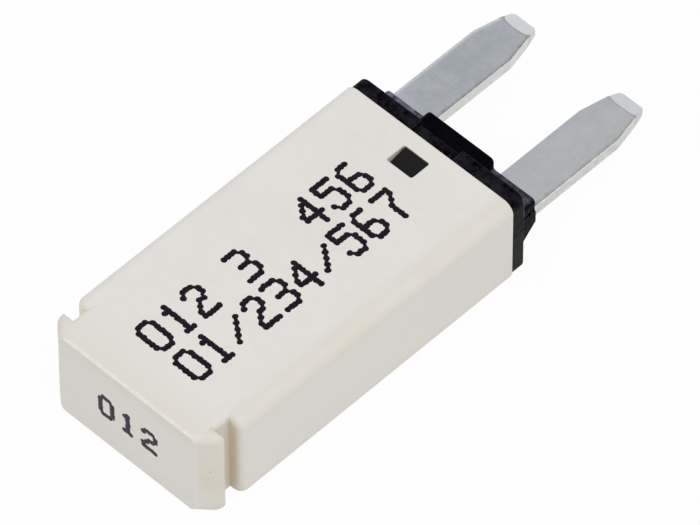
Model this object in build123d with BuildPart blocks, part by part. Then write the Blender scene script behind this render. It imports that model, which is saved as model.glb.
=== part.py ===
"""Miniature blade-type thermal breaker: a white cap over a black base with two blades.

The part lies on one broad face.  X runs across the width, Y from the closed head to the
blade tips, Z up through the thickness.  The origin is under the middle of the part.
All sizes are in millimetres.
"""

from build123d import *
import os

# ------------------------------------------------------------------ driving dimensions

# Housing cap: one moulded shell, closed at the head and open towards the blades.
cap_width = 12.5
cap_thickness = 6.4
cap_length = 23.3
cap_wall = 0.9
cap_edge_radius = 0.75
head_wall = 1.2
head_lip = 1.32
head_lip_inset = 0.18
head_corner_across = 1.03
head_corner_along = 0.9
head_rim_round = 0.5
head_edge_bevel = 0.12
lip_nose_round = 0.7
lip_back_round = 0.3
grip_notch_length = 1.1
grip_notch_depth = 0.95
grip_notch_edge_radius = 0.4
grip_notch_shoulder_round = 0.5
cavity_corner_radius = 0.4
window_width = 1.9
window_length = 1.43
window_from_open_end = 1.05
window_corner_radius = 0.15
open_end_round = 0.12

# Base: flange, plug inside the cap, collar and centre block around the blades.
flange_thickness = 0.95
flange_inset = 0.1
flange_edge_round = 0.1
relief_width = 3.1
relief_depth = 0.6
plug_length = 4.6
plug_clearance = 0.1
core_width = 3.4
core_height = 2.4
core_end_wall = 0.9
tab_clearance = 0.1
tab_catch_clearance = 0.03
tab_front_recess = 0.4
tab_back_recess = 0.04
collar_width = 11.2
collar_height = 2.2
collar_length = 1.47
collar_corner_radius = 0.3
collar_root_radius = 0.1
collar_rim_round = 0.12
block_width = 5.0
block_height = 3.8
gusset_width = 1.5
gusset_fall = 0.65
gusset_root_length = 0.5
gusset_end_rise = 0.35
slit_height = 0.28
slit_depth = 0.55
slit_root_below_middle = 0.25
slit_end_above_middle = 0.35
slit_mouth = 0.25
parting_height = 0.12
parting_depth = 0.08
parting_above_middle = 0.45

# Terminals: tin-plated sheet, stamped in one piece with their inner ends.
sheet = 0.8
blade_pitch = 8.1
blade_width = 2.9
blade_length = 9.28
nose_length = 2.7
tip_width = 1.72
nose_corner_radius = 0.3
shoulder_radius = 0.5
coin_length = 0.95
coin_depth = 0.25
shank_width = 2.0
lock_hole_radius = 0.45
lock_hole_from_open_end = 2.6
foot_width = 4.1
foot_length = 3.3
foot_gap = 0.5
arm_drop = 1.0
arm_bend_start = 3.2
arm_bend_length = 1.5
arm_bend_radius = 0.5
pad_length = 3.0
pad_gap = 1.5
plate_corner_radius = 0.4

# Bimetal strip with its riveted contact, and the fixed contact below it.
strip_thickness = 0.25
strip_width = 3.3
strip_crown = 0.25
strip_root_length = 3.0
strip_end_length = 2.4
strip_corner_radius = 0.5
contact_radius = 1.1
contact_height = 0.55
contact_rim = 0.15
moving_shank_radius = 0.5
moving_head_radius = 0.8
moving_head_height = 0.15
fixed_shank_radius = 0.6

# ------------------------------------------------------------------ stations and levels

overall_length = cap_length + flange_thickness + collar_length + blade_length
y_head = -overall_length / 2
y_tip = overall_length / 2
y_open = y_head + cap_length
y_flange = y_open + flange_thickness
y_collar = y_flange + collar_length
y_shoulder = y_tip - nose_length
y_plug = y_open - plug_length

x_side = cap_width / 2
z_middle = cap_thickness / 2
flange_width = cap_width - 2 * flange_inset
flange_height = cap_thickness - 2 * flange_inset

y_notch_start = y_head + head_lip
y_notch_end = y_notch_start + grip_notch_length
x_lip = x_side - head_lip_inset
x_head_face = x_lip - head_corner_across
x_notch_floor = x_side - grip_notch_depth
y_neck = y_head + head_lip / 2
cavity_width = cap_width - 2 * cap_wall
cavity_height = cap_thickness - 2 * cap_wall
y_cavity = y_notch_end + cap_wall
nose_pocket_width = 2 * (x_notch_floor - cap_wall)
y_nose_pocket = y_head + head_wall
y_window_end = y_open - window_from_open_end
y_window_middle = y_window_end - window_length / 2

plug_width = cavity_width - 2 * plug_clearance
plug_height = cavity_height - 2 * plug_clearance
z_plug_top = z_middle + plug_height / 2
y_tab_start = y_window_end - window_length + tab_clearance
y_tab_end = y_window_end - tab_catch_clearance
z_slit_root = z_middle - slit_root_below_middle
z_slit_end = z_middle + slit_end_above_middle
slit_slope = (z_slit_end - z_slit_root) / collar_length
z_collar_bottom = z_middle - collar_height / 2
z_gusset_end = z_collar_bottom + gusset_end_rise
z_gusset_low = z_collar_bottom - gusset_fall
y_gusset = y_flange + gusset_root_length
z_parting = z_middle + parting_above_middle

z_sheet_top = z_middle + sheet / 2
z_sheet_bottom = z_middle - sheet / 2
x_blade = blade_pitch / 2
x_blade_inner = x_blade - blade_width / 2
x_blade_outer = x_blade + blade_width / 2
x_shank_outer = x_blade_inner + shank_width
y_lock = y_open - lock_hole_from_open_end

y_foot_start = y_plug - foot_gap - foot_length
x_strip = -(x_shank_outer - foot_width / 2)
y_strip_root = y_plug - foot_gap
y_crown_start = y_strip_root - strip_root_length

y_pad_start = y_cavity + pad_gap
y_contact = y_pad_start + pad_length / 2
y_strip_end = y_contact - strip_end_length / 2
y_crown_end = y_strip_end + strip_end_length
y_crown_top = (y_crown_start + y_crown_end) / 2
y_arm_bend = y_plug - arm_bend_start
z_arm_top = z_sheet_top - arm_drop
z_touch = z_sheet_top - contact_height
x_pad_end = x_strip - contact_radius - contact_rim


def across(y):
    """Plane across the length at station y, drawn with X to the right and Z up."""
    return Plane.XZ.offset(-y)


def blade_and_shank(side, y_inner):
    """Plan view of one blade and of the shank that runs in to y_inner; side is -1 or 1."""
    x_shank = side * (x_blade_inner + shank_width / 2)
    with BuildSketch() as plan:
        with BuildLine():
            outline = FilletPolyline(
                (side * x_blade_inner, y_collar),
                (side * x_blade_inner, y_shoulder),
                (side * (x_blade - tip_width / 2), y_tip),
                (side * (x_blade + tip_width / 2), y_tip),
                (side * x_blade_outer, y_shoulder),
                (side * x_blade_outer, y_collar),
                radius=(shoulder_radius, nose_corner_radius, nose_corner_radius, shoulder_radius),
            )
            Line(outline @ 1, outline @ 0)
        make_face()
        with Locations((x_shank, (y_inner + y_collar) / 2)):
            Rectangle(shank_width, y_collar - y_inner)
        with Locations((x_shank, y_lock)):
            Circle(lock_hole_radius, mode=Mode.SUBTRACT)
    return plan.sketch


def coined_nose():
    """Side view of the two slivers that coining takes off the faces of a blade's nose."""
    with BuildSketch() as slivers:
        for level, inwards in ((z_sheet_top, -1), (z_sheet_bottom, 1)):
            with BuildLine():
                Polyline(
                    (y_tip - coin_length, level),
                    (y_tip, level),
                    (y_tip, level + inwards * coin_depth),
                    close=True,
                )
            make_face()
    return slivers.sketch


# ------------------------------------------------------------------ housing cap

with BuildPart() as head:
    # The head has cut-off corners, whose rims are rounded up to the front face.
    with BuildSketch(Plane.XY):
        with BuildLine():
            Line((0, y_head), (x_head_face, y_head))
            FilletPolyline(
                (x_head_face, y_head),
                (x_lip, y_head + head_corner_along),
                (x_lip, y_notch_start),
                radius=lip_nose_round,
            )
            Line((x_lip, y_notch_start), (0, y_notch_start))
            mirror(about=Plane.YZ)
        make_face()
    extrude(amount=cap_thickness)
    broad_faces = head.faces().filter_by(Axis.Z)
    rims = broad_faces.edges().filter_by(lambda edge: abs(edge.center().X) > x_head_face)
    fillet(rims, radius=head_rim_round)
    # Seen from the side, the front edges are bevelled and the edges at the notches rounded.
    with BuildSketch(Plane.YZ):
        with BuildLine():
            front = Polyline(
                (y_head + head_edge_bevel, 0),
                (y_head, head_edge_bevel),
                (y_head, cap_thickness - head_edge_bevel),
                (y_head + head_edge_bevel, cap_thickness),
            )
            FilletPolyline(
                front @ 1,
                (y_notch_start, cap_thickness),
                (y_notch_start, 0),
                front @ 0,
                radius=lip_back_round,
            )
        make_face()
    extrude(amount=x_side, both=True, mode=Mode.INTERSECT)

with BuildPart() as housing_cap:
    # The body, whose head end is rounded over towards the grip notches.
    with BuildSketch(across(y_open)):
        with Locations((0, z_middle)):
            RectangleRounded(cap_width, cap_thickness, cap_edge_radius)
    extrude(amount=y_open - y_notch_end)
    fillet(housing_cap.faces().sort_by(Axis.Y)[0].edges(), radius=grip_notch_shoulder_round)
    # The neck between the two grip notches runs on into the head.
    with BuildSketch(across(y_notch_end + grip_notch_shoulder_round)):
        with Locations((0, z_middle)):
            RectangleRounded(2 * x_notch_floor, cap_thickness, grip_notch_edge_radius)
    extrude(amount=y_notch_end + grip_notch_shoulder_round - y_neck)
    add(head.part)
    # Cavity from the open end, narrower between the grip notches.
    with BuildSketch(across(y_open)):
        with Locations((0, z_middle)):
            RectangleRounded(cavity_width, cavity_height, cavity_corner_radius)
    extrude(amount=y_open - y_cavity, mode=Mode.SUBTRACT)
    with BuildSketch(across(y_cavity)):
        with Locations((0, z_middle)):
            RectangleRounded(nose_pocket_width, cavity_height, cavity_corner_radius)
    extrude(amount=y_cavity - y_nose_pocket, mode=Mode.SUBTRACT)
    fillet(housing_cap.faces().sort_by(Axis.Y)[-1].outer_wire().edges(), radius=open_end_round)
    # Latch windows through both broad walls.
    with BuildSketch(Plane.XY):
        with Locations((0, y_window_middle)):
            RectangleRounded(window_width, window_length, window_corner_radius)
    extrude(amount=cap_thickness, mode=Mode.SUBTRACT)

# ------------------------------------------------------------------ terminals

with BuildPart() as terminal_left:
    with BuildSketch(Plane.YZ):
        with Locations(((y_foot_start + y_tip) / 2, z_middle)):
            Rectangle(y_tip - y_foot_start, sheet)
        add(coined_nose(), mode=Mode.SUBTRACT)
    extrude(amount=-x_side)
    with BuildSketch(Plane.XY):
        add(blade_and_shank(-1, y_foot_start))
        with Locations((x_strip, y_foot_start + foot_length / 2)):
            RectangleRounded(foot_width, foot_length, plate_corner_radius)
    extrude(amount=cap_thickness, mode=Mode.INTERSECT)

with BuildPart() as terminal_right:
    # Side view: the sheet steps down so that the arm passes under the strip.
    with BuildSketch(Plane.YZ):
        with BuildLine() as run:
            FilletPolyline(
                (y_tip, z_middle),
                (y_arm_bend, z_middle),
                (y_arm_bend - arm_bend_length, z_middle - arm_drop),
                (y_pad_start, z_middle - arm_drop),
                radius=arm_bend_radius,
            )
        trace(run.line, line_width=sheet)
        add(coined_nose(), mode=Mode.SUBTRACT)
    extrude(amount=x_side, both=True)
    with BuildSketch(Plane.XY):
        add(blade_and_shank(1, y_pad_start))
        with BuildLine():
            pad = FilletPolyline(
                (x_shank_outer, y_pad_start + pad_length),
                (x_shank_outer, y_pad_start),
                (x_pad_end, y_pad_start),
                (x_pad_end, y_pad_start + pad_length),
                (x_blade_inner, y_pad_start + pad_length),
                radius=plate_corner_radius,
            )
            Line(pad @ 1, pad @ 0)
        make_face()
        with Locations((x_strip, y_contact)):
            Circle(fixed_shank_radius, mode=Mode.SUBTRACT)
    extrude(amount=cap_thickness, mode=Mode.INTERSECT)

# ------------------------------------------------------------------ base

with BuildPart() as base_plug:
    # Flange that closes the cap, relieved at the middle of both broad edges.
    with BuildSketch(across(y_open)):
        with Locations((0, z_middle)):
            RectangleRounded(flange_width, flange_height, cap_edge_radius - flange_inset)
        with Locations((0, 0), (0, cap_thickness)):
            Rectangle(relief_width, 2 * relief_depth, mode=Mode.SUBTRACT)
    extrude(amount=-flange_thickness)
    fillet(base_plug.faces().sort_by(Axis.Y)[-1].edges(), radius=flange_edge_round)
    # Collar around both blades, with the taller block between them.
    with BuildSketch(across(y_flange)):
        with BuildLine():
            half_section = FilletPolyline(
                (0, z_middle + block_height / 2),
                (block_width / 2, z_middle + block_height / 2),
                (block_width / 2, z_middle + collar_height / 2),
                (collar_width / 2, z_middle + collar_height / 2),
                (collar_width / 2, z_collar_bottom),
                (block_width / 2, z_collar_bottom),
                (block_width / 2, z_middle - block_height / 2),
                (0, z_middle - block_height / 2),
                radius=(
                    collar_corner_radius,
                    collar_root_radius,
                    collar_corner_radius,
                    collar_corner_radius,
                    collar_root_radius,
                    collar_corner_radius,
                ),
            )
            mirror(about=Plane.YZ)
        make_face()
    extrude(amount=-collar_length)
    fillet(base_plug.faces().sort_by(Axis.Y)[-1].edges(), radius=collar_rim_round)
    # Gussets that slope from the ends of the collar back to the flange.
    gusset_planes = (Plane.YZ.offset(-collar_width / 2), Plane.YZ.offset(collar_width / 2 - gusset_width))
    with BuildSketch(*gusset_planes):
        with BuildLine():
            Polyline(
                (y_flange, z_slit_root),
                (y_collar, z_slit_end),
                (y_collar, z_gusset_end),
                (y_gusset, z_gusset_low),
                (y_flange, z_gusset_low),
                close=True,
            )
        make_face()
    extrude(amount=gusset_width)
    with BuildSketch(*gusset_planes):
        with BuildLine():
            Polyline(
                (y_collar, z_gusset_end),
                (y_collar, z_gusset_low),
                (y_gusset, z_gusset_low),
                close=True,
            )
        make_face()
    extrude(amount=gusset_width, mode=Mode.SUBTRACT)
    # A slit above each gusset rises towards the blades and widens at its mouth.
    slit_planes = (Plane.YZ.offset(-x_side), Plane.YZ.offset(collar_width / 2 - slit_depth))
    with BuildSketch(*slit_planes):
        with BuildLine():
            Polyline(
                (y_flange, z_slit_root),
                (y_collar - slit_mouth, z_slit_end - slit_mouth * slit_slope),
                (y_collar, z_slit_end - slit_mouth),
                (y_collar, z_slit_end + slit_height),
                (y_flange, z_slit_root + slit_height),
                close=True,
            )
        make_face()
    extrude(amount=x_side - collar_width / 2 + slit_depth, mode=Mode.SUBTRACT)
    # Fine parting groove across the narrow ends of the flange.
    with BuildSketch(across(y_open)):
        with Locations((-flange_width / 2, z_parting), (flange_width / 2, z_parting)):
            Rectangle(2 * parting_depth, parting_height)
    extrude(amount=-flange_thickness, mode=Mode.SUBTRACT)
    # Plug that fills the cap's open end, cored from inside.
    with BuildSketch(across(y_open)):
        with Locations((0, z_middle)):
            RectangleRounded(plug_width, plug_height, cavity_corner_radius - plug_clearance)
    extrude(amount=plug_length)
    with BuildSketch(across(y_plug)):
        with Locations((0, z_middle)):
            Rectangle(core_width, core_height)
    extrude(amount=core_end_wall - plug_length, mode=Mode.SUBTRACT)
    # Latch tabs that snap into the windows, with a ramp that rises towards the flange.
    with BuildSketch(Plane.YZ):
        with BuildLine():
            Polyline(
                (y_tab_start, z_plug_top),
                (y_tab_start, cap_thickness - tab_front_recess),
                (y_tab_end, cap_thickness - tab_back_recess),
                (y_tab_end, z_plug_top),
                close=True,
            )
        make_face()
        mirror(about=Plane.XZ.offset(-z_middle))
    extrude(amount=window_width / 2 - tab_clearance, both=True)
    # The base is moulded around the shanks of both terminals.
    add(terminal_left.part, mode=Mode.SUBTRACT)
    add(terminal_right.part, mode=Mode.SUBTRACT)

# ------------------------------------------------------------------ bimetal strip

with BuildPart() as bimetal_strip:
    # Side view: a flat root on the foot, a shallow crown, a flat end for the contact.
    with BuildSketch(Plane.YZ):
        with BuildLine():
            for level in (z_sheet_top, z_sheet_top + strip_thickness):
                crown_start = (y_crown_start, level)
                crown_top = (y_crown_top, level + strip_crown)
                crown_end = (y_crown_end, level)
                Line((y_strip_root, level), crown_start)
                ThreePointArc(crown_start, crown_top, crown_end)
                Line(crown_end, (y_strip_end, level))
            for station in (y_strip_root, y_strip_end):
                Line((station, z_sheet_top), (station, z_sheet_top + strip_thickness))
        make_face()
    extrude(amount=x_side, both=True)
    with BuildSketch(Plane.XY):
        with Locations((x_strip, (y_strip_root + y_strip_end) / 2)):
            RectangleRounded(strip_width, y_strip_root - y_strip_end, strip_corner_radius)
        with Locations((x_strip, y_contact)):
            Circle(moving_shank_radius, mode=Mode.SUBTRACT)
    extrude(amount=cap_thickness, mode=Mode.INTERSECT)

# ------------------------------------------------------------------ contacts

contact_axis = Axis((x_strip, y_contact, 0), (0, 0, 1))
contact_plane = Plane(origin=(x_strip, y_contact, 0), x_dir=(1, 0, 0), z_dir=(0, -1, 0))

with BuildPart() as moving_contact:
    # Half section of the button, its shank through the strip, and the upset head.
    with BuildSketch(contact_plane):
        with BuildLine():
            Polyline(
                (0, z_touch),
                (contact_radius - contact_rim, z_touch),
                (contact_radius, z_touch + contact_rim),
                (contact_radius, z_sheet_top),
                (moving_shank_radius, z_sheet_top),
                (moving_shank_radius, z_sheet_top + strip_thickness),
                (moving_head_radius, z_sheet_top + strip_thickness),
                (moving_head_radius, z_sheet_top + strip_thickness + moving_head_height),
                (0, z_sheet_top + strip_thickness + moving_head_height),
                close=True,
            )
        make_face()
    revolve(axis=contact_axis)

with BuildPart() as fixed_contact:
    # Half section of the button and its shank, flush with the underside of the arm.
    with BuildSketch(contact_plane):
        with BuildLine():
            Polyline(
                (0, z_arm_top - sheet),
                (fixed_shank_radius, z_arm_top - sheet),
                (fixed_shank_radius, z_arm_top),
                (contact_radius, z_arm_top),
                (contact_radius, z_touch - contact_rim),
                (contact_radius - contact_rim, z_touch),
                (0, z_touch),
                close=True,
            )
        make_face()
    revolve(axis=contact_axis)

# ------------------------------------------------------------------ export

os.makedirs("parts", exist_ok=True)
for name, piece in (
    ("housing_cap", housing_cap),
    ("base_plug", base_plug),
    ("terminal_left", terminal_left),
    ("terminal_right", terminal_right),
    ("bimetal_strip", bimetal_strip),
    ("moving_contact", moving_contact),
    ("fixed_contact", fixed_contact),
):
    piece.part.label = name
    export_step(piece.part, f"parts/{name}.step")
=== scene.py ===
"""Looks of a blade-type thermal fuse: finishes, ink marks, stage, lights and camera.

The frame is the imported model's own, in metres: +X across the broad face, +Y from the closed
head to the blade tips, +Z up through the thickness.  Patterns are written in millimetres.
"""

import logging
import math
from dataclasses import dataclass, replace
from enum import Enum
from functools import partial, reduce
from typing import Any

import bpy
import numpy as np
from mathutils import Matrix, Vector


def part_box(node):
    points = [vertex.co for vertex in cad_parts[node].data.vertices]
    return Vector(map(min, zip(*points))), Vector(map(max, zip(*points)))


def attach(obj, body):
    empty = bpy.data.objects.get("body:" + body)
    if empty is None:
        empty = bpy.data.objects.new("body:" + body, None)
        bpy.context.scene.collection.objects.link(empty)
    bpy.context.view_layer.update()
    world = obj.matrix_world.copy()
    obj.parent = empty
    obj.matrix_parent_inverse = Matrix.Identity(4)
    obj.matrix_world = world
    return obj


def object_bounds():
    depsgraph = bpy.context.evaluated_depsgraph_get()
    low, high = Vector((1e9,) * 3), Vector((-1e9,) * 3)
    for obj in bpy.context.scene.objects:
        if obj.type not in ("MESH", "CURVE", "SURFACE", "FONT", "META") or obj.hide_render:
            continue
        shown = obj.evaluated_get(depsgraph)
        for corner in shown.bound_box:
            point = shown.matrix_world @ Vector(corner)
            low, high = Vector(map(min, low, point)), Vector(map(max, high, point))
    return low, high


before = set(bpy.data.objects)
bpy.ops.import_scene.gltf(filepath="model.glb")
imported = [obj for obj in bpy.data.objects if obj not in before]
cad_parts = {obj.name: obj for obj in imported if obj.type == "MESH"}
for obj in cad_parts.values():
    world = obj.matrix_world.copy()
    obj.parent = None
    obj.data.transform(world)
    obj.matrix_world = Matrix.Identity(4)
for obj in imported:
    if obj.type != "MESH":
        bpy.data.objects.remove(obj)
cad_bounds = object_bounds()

MM = 0.001
HOUSING = "housing"
log = logging.getLogger("thermal_fuse")

Colour = tuple[float, float, float, float]
Point = tuple[float, float, float]
Span = tuple[float, float]
# A ramp: the ends of its range, and its results there where they are not 0 and 1.
Ramp = tuple[float, ...]
# A layer of colour: the mask of where it shows, and the colour.
Layer = tuple[Any, Colour]
Material = bpy.types.Material
Node = bpy.types.Node
Socket = bpy.types.NodeSocket
Tree = bpy.types.NodeTree


# ---- shader graphs


class Graph:
    """A shader tree, with short calls that add a node and wire or set its inputs."""

    def __init__(self, tree: Tree) -> None:
        """Start on the node tree of a material, a world or a group, emptied first."""
        tree.nodes.clear()
        self.tree = tree

    def add(self, kind: str, inputs: dict[Any, Any] | None = None, **settings: Any) -> Node:
        """Add one node.

        Args:
            kind: The node's type, without the ShaderNode in front of it.
            inputs: Values or sockets for its inputs, by name or number.
            **settings: Properties of the node itself.

        Returns:
            The new node.
        """
        node = self.tree.nodes.new("ShaderNode" + kind)
        for name, value in settings.items():
            setattr(node, name, value)
        for key, value in (inputs or {}).items():
            if isinstance(value, Socket):
                self.tree.links.new(value, node.inputs[key])
            else:
                node.inputs[key].default_value = value
        return node

    def link(self, source: Socket, node: Node, name: str) -> None:
        """Wire a socket to a node's input of that name."""
        self.tree.links.new(source, node.inputs[name])

    def math(self, operation: str, a: Any, b: Any = 0.0) -> Socket:
        """Combine two numbers or sockets by an operation; returns the result's socket."""
        return self.add("Math", {0: a, 1: b}, operation=operation).outputs[0]

    def plus(self, a: Any, b: Any) -> Socket:
        """Add two numbers or sockets; returns the sum's socket."""
        return self.math("ADD", a, b)

    def times(self, *factors: Any) -> Socket:
        """Multiply numbers or sockets, in order; returns the product's socket."""
        return reduce(partial(self.math, "MULTIPLY"), factors)

    def most(self, *values: Any) -> Socket:
        """Take the largest of numbers or sockets; returns its socket."""
        return reduce(partial(self.math, "MAXIMUM"), values)

    def ramp(self, value: Any, ramp: Ramp, start: float = 0.0, **settings: Any) -> Socket:
        """Carry a number from one range to another, held at the ends.

        Args:
            value: The number or socket to carry over.
            ramp: The range and the results at its ends.
            start: Where the range is counted from.
            **settings: Properties of the node itself.

        Returns:
            The result's socket.
        """
        low, high, *results = ramp
        new_low, new_high = results or (0.0, 1.0)
        inputs = {"Value": value, "From Min": start + low, "From Max": start + high}
        inputs |= {"To Min": new_low, "To Max": new_high}
        return self.add("MapRange", inputs, **settings).outputs[0]

    def blend(self, colour: Any, *layers: Layer) -> Any:
        """Lay colours over a colour, in order.

        Args:
            colour: The colour or socket underneath.
            *layers: Each a mask and the colour that shows where it is 1.

        Returns:
            The result's socket.
        """
        for mask, over in layers:
            colour = self.add("Mix", {0: mask, 6: colour, 7: over}, data_type="RGBA").outputs[2]
        return colour

    def group(self, effect: "type[Effect]", inputs: dict[str, Any] | None = None) -> Any:
        """Place an effect's group, made at its first use; returns its outputs."""
        tree = bpy.data.node_groups.get(effect.name) or effect().tree
        return self.add("Group", inputs, node_tree=tree).outputs


def shade(r: float, g: float, b: float) -> Colour:
    """A linear colour with full alpha."""
    return (r, g, b, 1.0)


WHITE = shade(1.0, 1.0, 1.0)


class Effect(Graph):
    """A node group that several materials share.

    takes holds each input with its default, or None for a vector, and gives holds each output
    with its socket type.
    """

    name: str
    takes: dict[str, float | None] = {}
    gives: dict[str, str]

    def __init__(self) -> None:
        """Make the group with its sockets and fill it."""
        super().__init__(bpy.data.node_groups.new(self.name, "ShaderNodeTree"))
        sockets = self.tree.interface
        for label, value in self.takes.items():
            kind = "NodeSocketVector" if value is None else "NodeSocketFloat"
            socket = sockets.new_socket(name=label, in_out="INPUT", socket_type=kind)
            if value is not None:
                socket.default_value = value
        for label, kind in self.gives.items():
            sockets.new_socket(name=label, in_out="OUTPUT", socket_type="NodeSocket" + kind)
        self.taken = self.tree.nodes.new("NodeGroupInput").outputs
        self.leave = self.tree.nodes.new("NodeGroupOutput")
        self.wire()

    def wire(self) -> None:
        """Fill the group between its inputs, in taken, and its last node, leave."""
        raise NotImplementedError


class PlaceInMm(Effect):
    """The surface point in the part's frame, in millimetres, whole and by axis."""

    name = "place_in_mm"
    gives = {"Point": "Vector", "X": "Float", "Y": "Float", "Z": "Float"}

    def wire(self) -> None:
        """Scale object coordinates from metres and split them."""
        coords = self.add("TexCoord").outputs["Object"]
        scaled = self.add("VectorMath", {0: coords, "Scale": 1 / MM}, operation="SCALE").outputs[0]
        axes = self.add("SeparateXYZ", {0: scaled}).outputs
        self.link(scaled, self.leave, "Point")
        for axis in "XYZ":
            self.link(axes[axis], self.leave, axis)


class Clouding(Effect):
    """Soft uneven tone, from -1 to 1, in patches of a given size."""

    name = "clouding"
    takes = {"Point": None, "Size": 4.0}
    gives = {"Tone": "Float"}
    centred: Ramp = (0.3, 0.7, -1.0, 1.0)

    def wire(self) -> None:
        """Centre a layered noise about zero; it seldom leaves the middle of its range."""
        scale = self.math("DIVIDE", 1.0, self.taken["Size"])
        noise = {"Vector": self.taken["Point"], "Scale": scale, "Detail": 3.0, "Roughness": 0.55}
        value = self.add("TexNoise", noise).outputs["Fac"]
        self.link(self.ramp(value, self.centred), self.leave, "Tone")


class MouldedGrain(Effect):
    """Height of the fine pebbled grain that an eroded mould leaves on plastic."""

    name = "moulded_grain"
    takes = {"Point": None, "Size": 0.12}
    gives = {"Height": "Float"}
    cell_share = 0.5

    def wire(self) -> None:
        """Add smooth cells, at part of their height, to a finer noise."""
        scale = self.math("DIVIDE", 1.0, self.taken["Size"])
        where = {"Vector": self.taken["Point"], "Scale": scale}
        cells = self.add("TexVoronoi", where, feature="SMOOTH_F1").outputs[0]
        fine = self.add("TexNoise", {**where, "Detail": 4.0}).outputs["Fac"]
        self.link(self.plus(self.times(cells, self.cell_share), fine), self.leave, "Height")


class Brushing(Effect):
    """Fine drawn lines, from -1 to 1, long along one axis and close together along the others."""

    name = "brushing"
    takes = {"Point": None, "Pitch X": 1.5, "Pitch Y": 0.05, "Pitch Z": 0.2}
    gives = {"Lines": "Float"}
    centred: Ramp = (0.25, 0.75, -1.0, 1.0)

    def wire(self) -> None:
        """Squeeze a noise by the length and spacing of the lines, and centre it about zero."""
        stretch = self.add("CombineXYZ")
        for axis in "XYZ":
            self.link(self.math("DIVIDE", 1.0, self.taken["Pitch " + axis]), stretch, axis)
        factors = {0: self.taken["Point"], 1: stretch.outputs[0]}
        squeezed = self.add("VectorMath", factors, operation="MULTIPLY").outputs[0]
        noise = {"Vector": squeezed, "Scale": 1.0, "Detail": 3.0, "Roughness": 0.6}
        value = self.add("TexNoise", noise).outputs["Fac"]
        self.link(self.ramp(value, self.centred), self.leave, "Lines")


class Speckling(Effect):
    """Mask of scattered round specks, each somewhere in its own cell."""

    name = "specks"
    takes = {"Point": None, "Spacing": 1.0, "Radius": 0.05, "Share": 0.2}
    gives = {"Mask": "Float"}

    def wire(self) -> None:
        """Keep a share of the cells, and in each the points near its centre."""
        scale = self.math("DIVIDE", 1.0, self.taken["Spacing"])
        cells = self.add("TexVoronoi", {"Vector": self.taken["Point"], "Scale": scale}).outputs
        reach = self.math("DIVIDE", self.taken["Radius"], self.taken["Spacing"])
        near = self.math("LESS_THAN", cells["Distance"], reach)
        chance = self.add("SeparateColor", {0: cells["Color"]}).outputs[0]
        kept = self.math("LESS_THAN", chance, self.taken["Share"])
        self.link(self.times(near, kept), self.leave, "Mask")


class SoftEdges(Effect):
    """The normal rounded over crisp edges, its X part, and a mask that is 1 on them."""

    name = "soft_edges"
    takes = {"Radius": 0.0001}
    gives = {"Normal": "Vector", "Mask": "Float", "Rightward": "Float"}
    turned: Ramp = (0.75, 0.99, 1.0, 0.0)

    def wire(self) -> None:
        """Compare the rounded normal with the true one, by the cosine of their angle."""
        rounded = self.add("Bevel", {"Radius": self.taken["Radius"]}, samples=6).outputs[0]
        normals = {0: rounded, 1: self.add("NewGeometry").outputs["Normal"]}
        cosine = self.add("VectorMath", normals, operation="DOT_PRODUCT").outputs["Value"]
        self.link(rounded, self.leave, "Normal")
        self.link(self.ramp(cosine, self.turned), self.leave, "Mask")
        self.link(self.add("SeparateXYZ", {0: rounded}).outputs["X"], self.leave, "Rightward")


# ---- finishes


class Surface(Graph):
    """A material's graph, with its surface point in millimetres and one Principled shader."""

    def __init__(self, name: str, inputs: dict[str, float]) -> None:
        """Start a material.

        Args:
            name: The material's name.
            inputs: Values for the Principled shader.
        """
        self.material = bpy.data.materials.new(name)
        self.material.use_nodes = True
        super().__init__(self.material.node_tree)
        self.place = self.group(PlaceInMm)
        self.shader = self.add("BsdfPrincipled", inputs)
        self.add("OutputMaterial", {"Surface": self.shader.outputs[0]})

    def along(self, axis: str, ramp: Ramp, start: float = 0.0) -> Socket:
        """Carry the surface point's place along an axis over a ramp; returns the socket."""
        return self.ramp(self.place[axis], ramp, start)

    def where(self, *limits: tuple[str, Ramp, float]) -> Socket:
        """Multiply ramps, each given as axis, ramp and start; returns the socket."""
        return self.times(*(self.along(*limit) for limit in limits))

    def pattern(self, effect: type[Effect], **inputs: Any) -> Any:
        """Place an effect that varies with the surface point; returns its outputs."""
        return self.group(effect, {"Point": self.place["Point"], **inputs})

    def tone(self, size_mm: float) -> Socket:
        """Soft uneven tone, from -1 to 1, in patches of a size; returns its socket."""
        return self.pattern(Clouding, Size=size_mm)["Tone"]

    def edges(self, radius: Any) -> Any:
        """Outputs of the softened edges, for a radius in metres."""
        return self.group(SoftEdges, {"Radius": radius})

    def clad(self, colour: Socket, rough: Socket, bump: dict[str, Any] | None = None) -> Material:
        """Wire what the shader takes from the finish.

        Args:
            colour: Its colour.
            rough: Its roughness.
            bump: Inputs of the Bump node that gives its normal, where it has one.

        Returns:
            The finished material.
        """
        self.link(colour, self.shader, "Base Color")
        self.link(rough, self.shader, "Roughness")
        if bump:
            self.link(self.add("Bump", bump).outputs[0], self.shader, "Normal")
        return self.material


@dataclass(frozen=True)
class Specks:
    """Scattered specks: the size of the cells, the specks' radius and the share of cells used."""

    spacing_mm: float
    radius_mm: float
    share: float

    def mask(self, graph: Surface) -> Socket:
        """Place the specks' effect; returns the mask's socket."""
        sizes = {"Spacing": self.spacing_mm, "Radius": self.radius_mm, "Share": self.share}
        return graph.pattern(Speckling, **sizes)["Mask"]


@dataclass(frozen=True)
class Grain:
    """Pebbled grain of a moulded face: its size, how strongly it shows and how deep it is."""

    size_mm: float
    strength: float
    depth_mm: float = 0.02

    def bump(self, graph: Surface, normal: Any) -> dict[str, Any]:
        """Inputs of the Bump node that lays the grain over a normal."""
        bump = {"Height": graph.pattern(MouldedGrain, Size=self.size_mm)["Height"], "Normal": normal}
        return bump | {"Strength": self.strength, "Distance": self.depth_mm * MM}


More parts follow.
